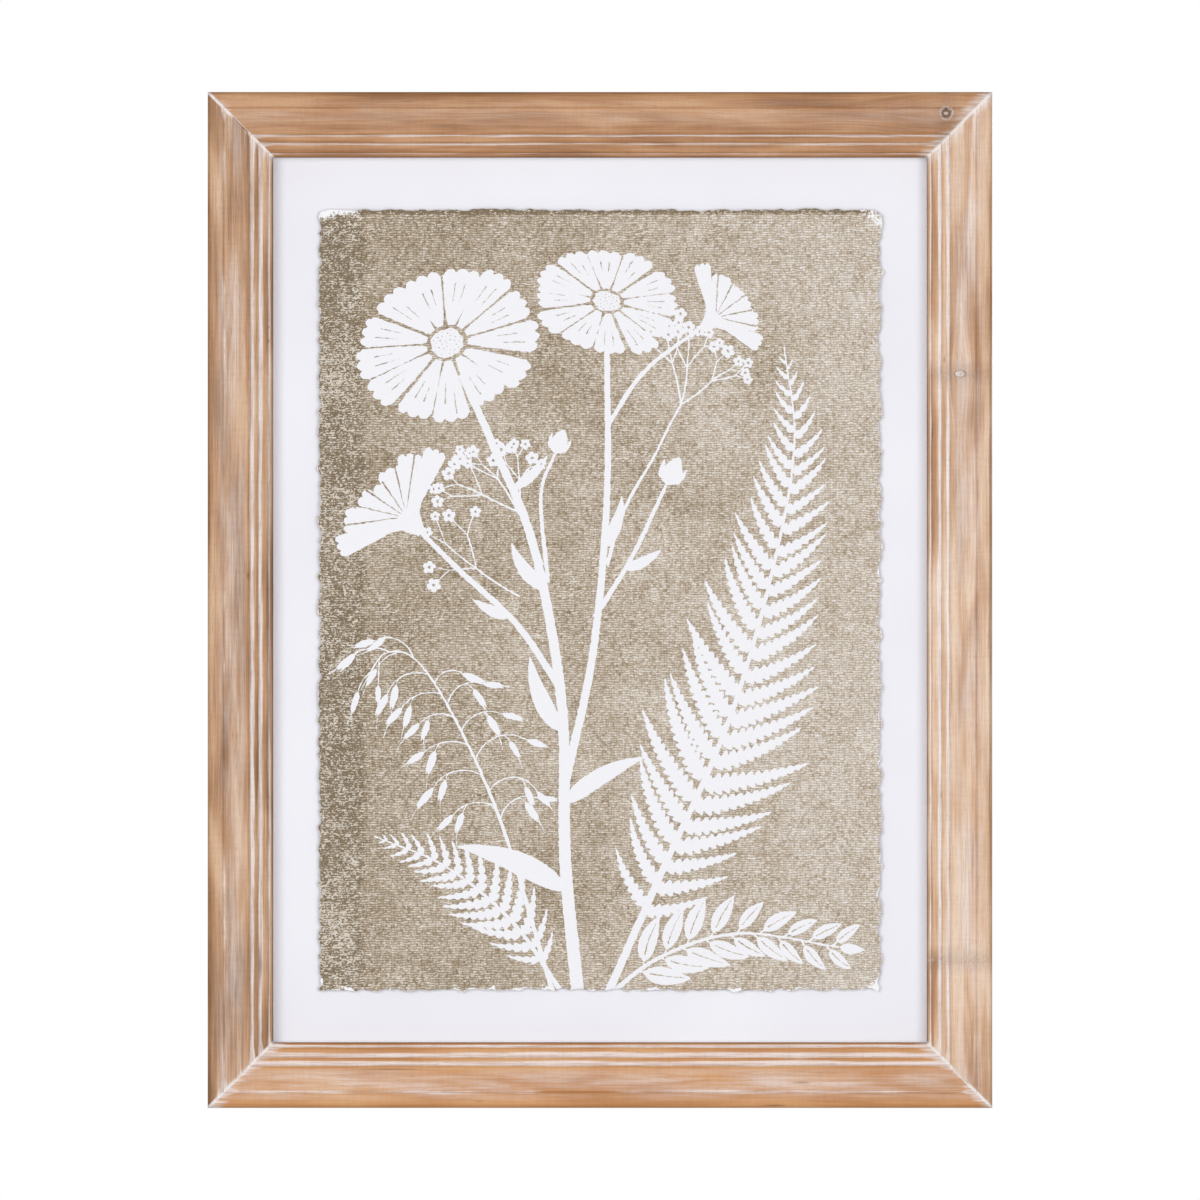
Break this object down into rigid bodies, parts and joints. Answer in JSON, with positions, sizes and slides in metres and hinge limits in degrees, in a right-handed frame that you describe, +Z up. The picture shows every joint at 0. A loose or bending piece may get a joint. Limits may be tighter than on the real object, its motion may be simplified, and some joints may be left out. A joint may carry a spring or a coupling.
{
  "type": "framed botanical print",
  "caption": "Wooden wall frame with a stepped, white-washed moulding and a torn-edge botanical print floated on a white board behind glass.",
  "frame": {"origin": "middle notch of the sawtooth hanger, where the wall nail carries the frame, on the plane of the wall", "axes": "+Z up along the frame's height, +X to the right seen from the front, +Y towards the wall: the picture faces -Y"},
  "size_m": [0.451, 0.0262, 0.584],
  "materials": {
    "washed_fir": "white-washed, satin",
    "clear_glass": "clear, polished",
    "foam_board": "matt",
    "mount_board": "matt",
    "print_paper": "matt, linen weave",
    "hardboard": "smooth, unpainted",
    "plated_steel": "zinc plated",
    "bumper_rubber": "matt"
  },
  "bodies": {
    "root": {"back_panel": "hardboard", "bumper_left": "bumper_rubber", "bumper_right": "bumper_rubber", "float_riser": "foam_board", "glass_pane": "clear_glass", "hanger_nail_left": "plated_steel", "hanger_nail_right": "plated_steel", "mount_board": "mount_board", "print_sheet": "print_paper", "rail_bottom": "washed_fir", "rail_left": "washed_fir", "rail_right": "washed_fir", "rail_top": "washed_fir", "retaining_point_1": "plated_steel", "retaining_point_10": "plated_steel", "retaining_point_2": "plated_steel", "retaining_point_3": "plated_steel", "retaining_point_4": "plated_steel", "retaining_point_5": "plated_steel", "retaining_point_6": "plated_steel", "retaining_point_7": "plated_steel", "retaining_point_8": "plated_steel", "retaining_point_9": "plated_steel", "sawtooth_hanger": "plated_steel", "spacer_bottom": "foam_board", "spacer_left": "foam_board", "spacer_right": "foam_board", "spacer_top": "foam_board"}
  },
  "joints": []
}
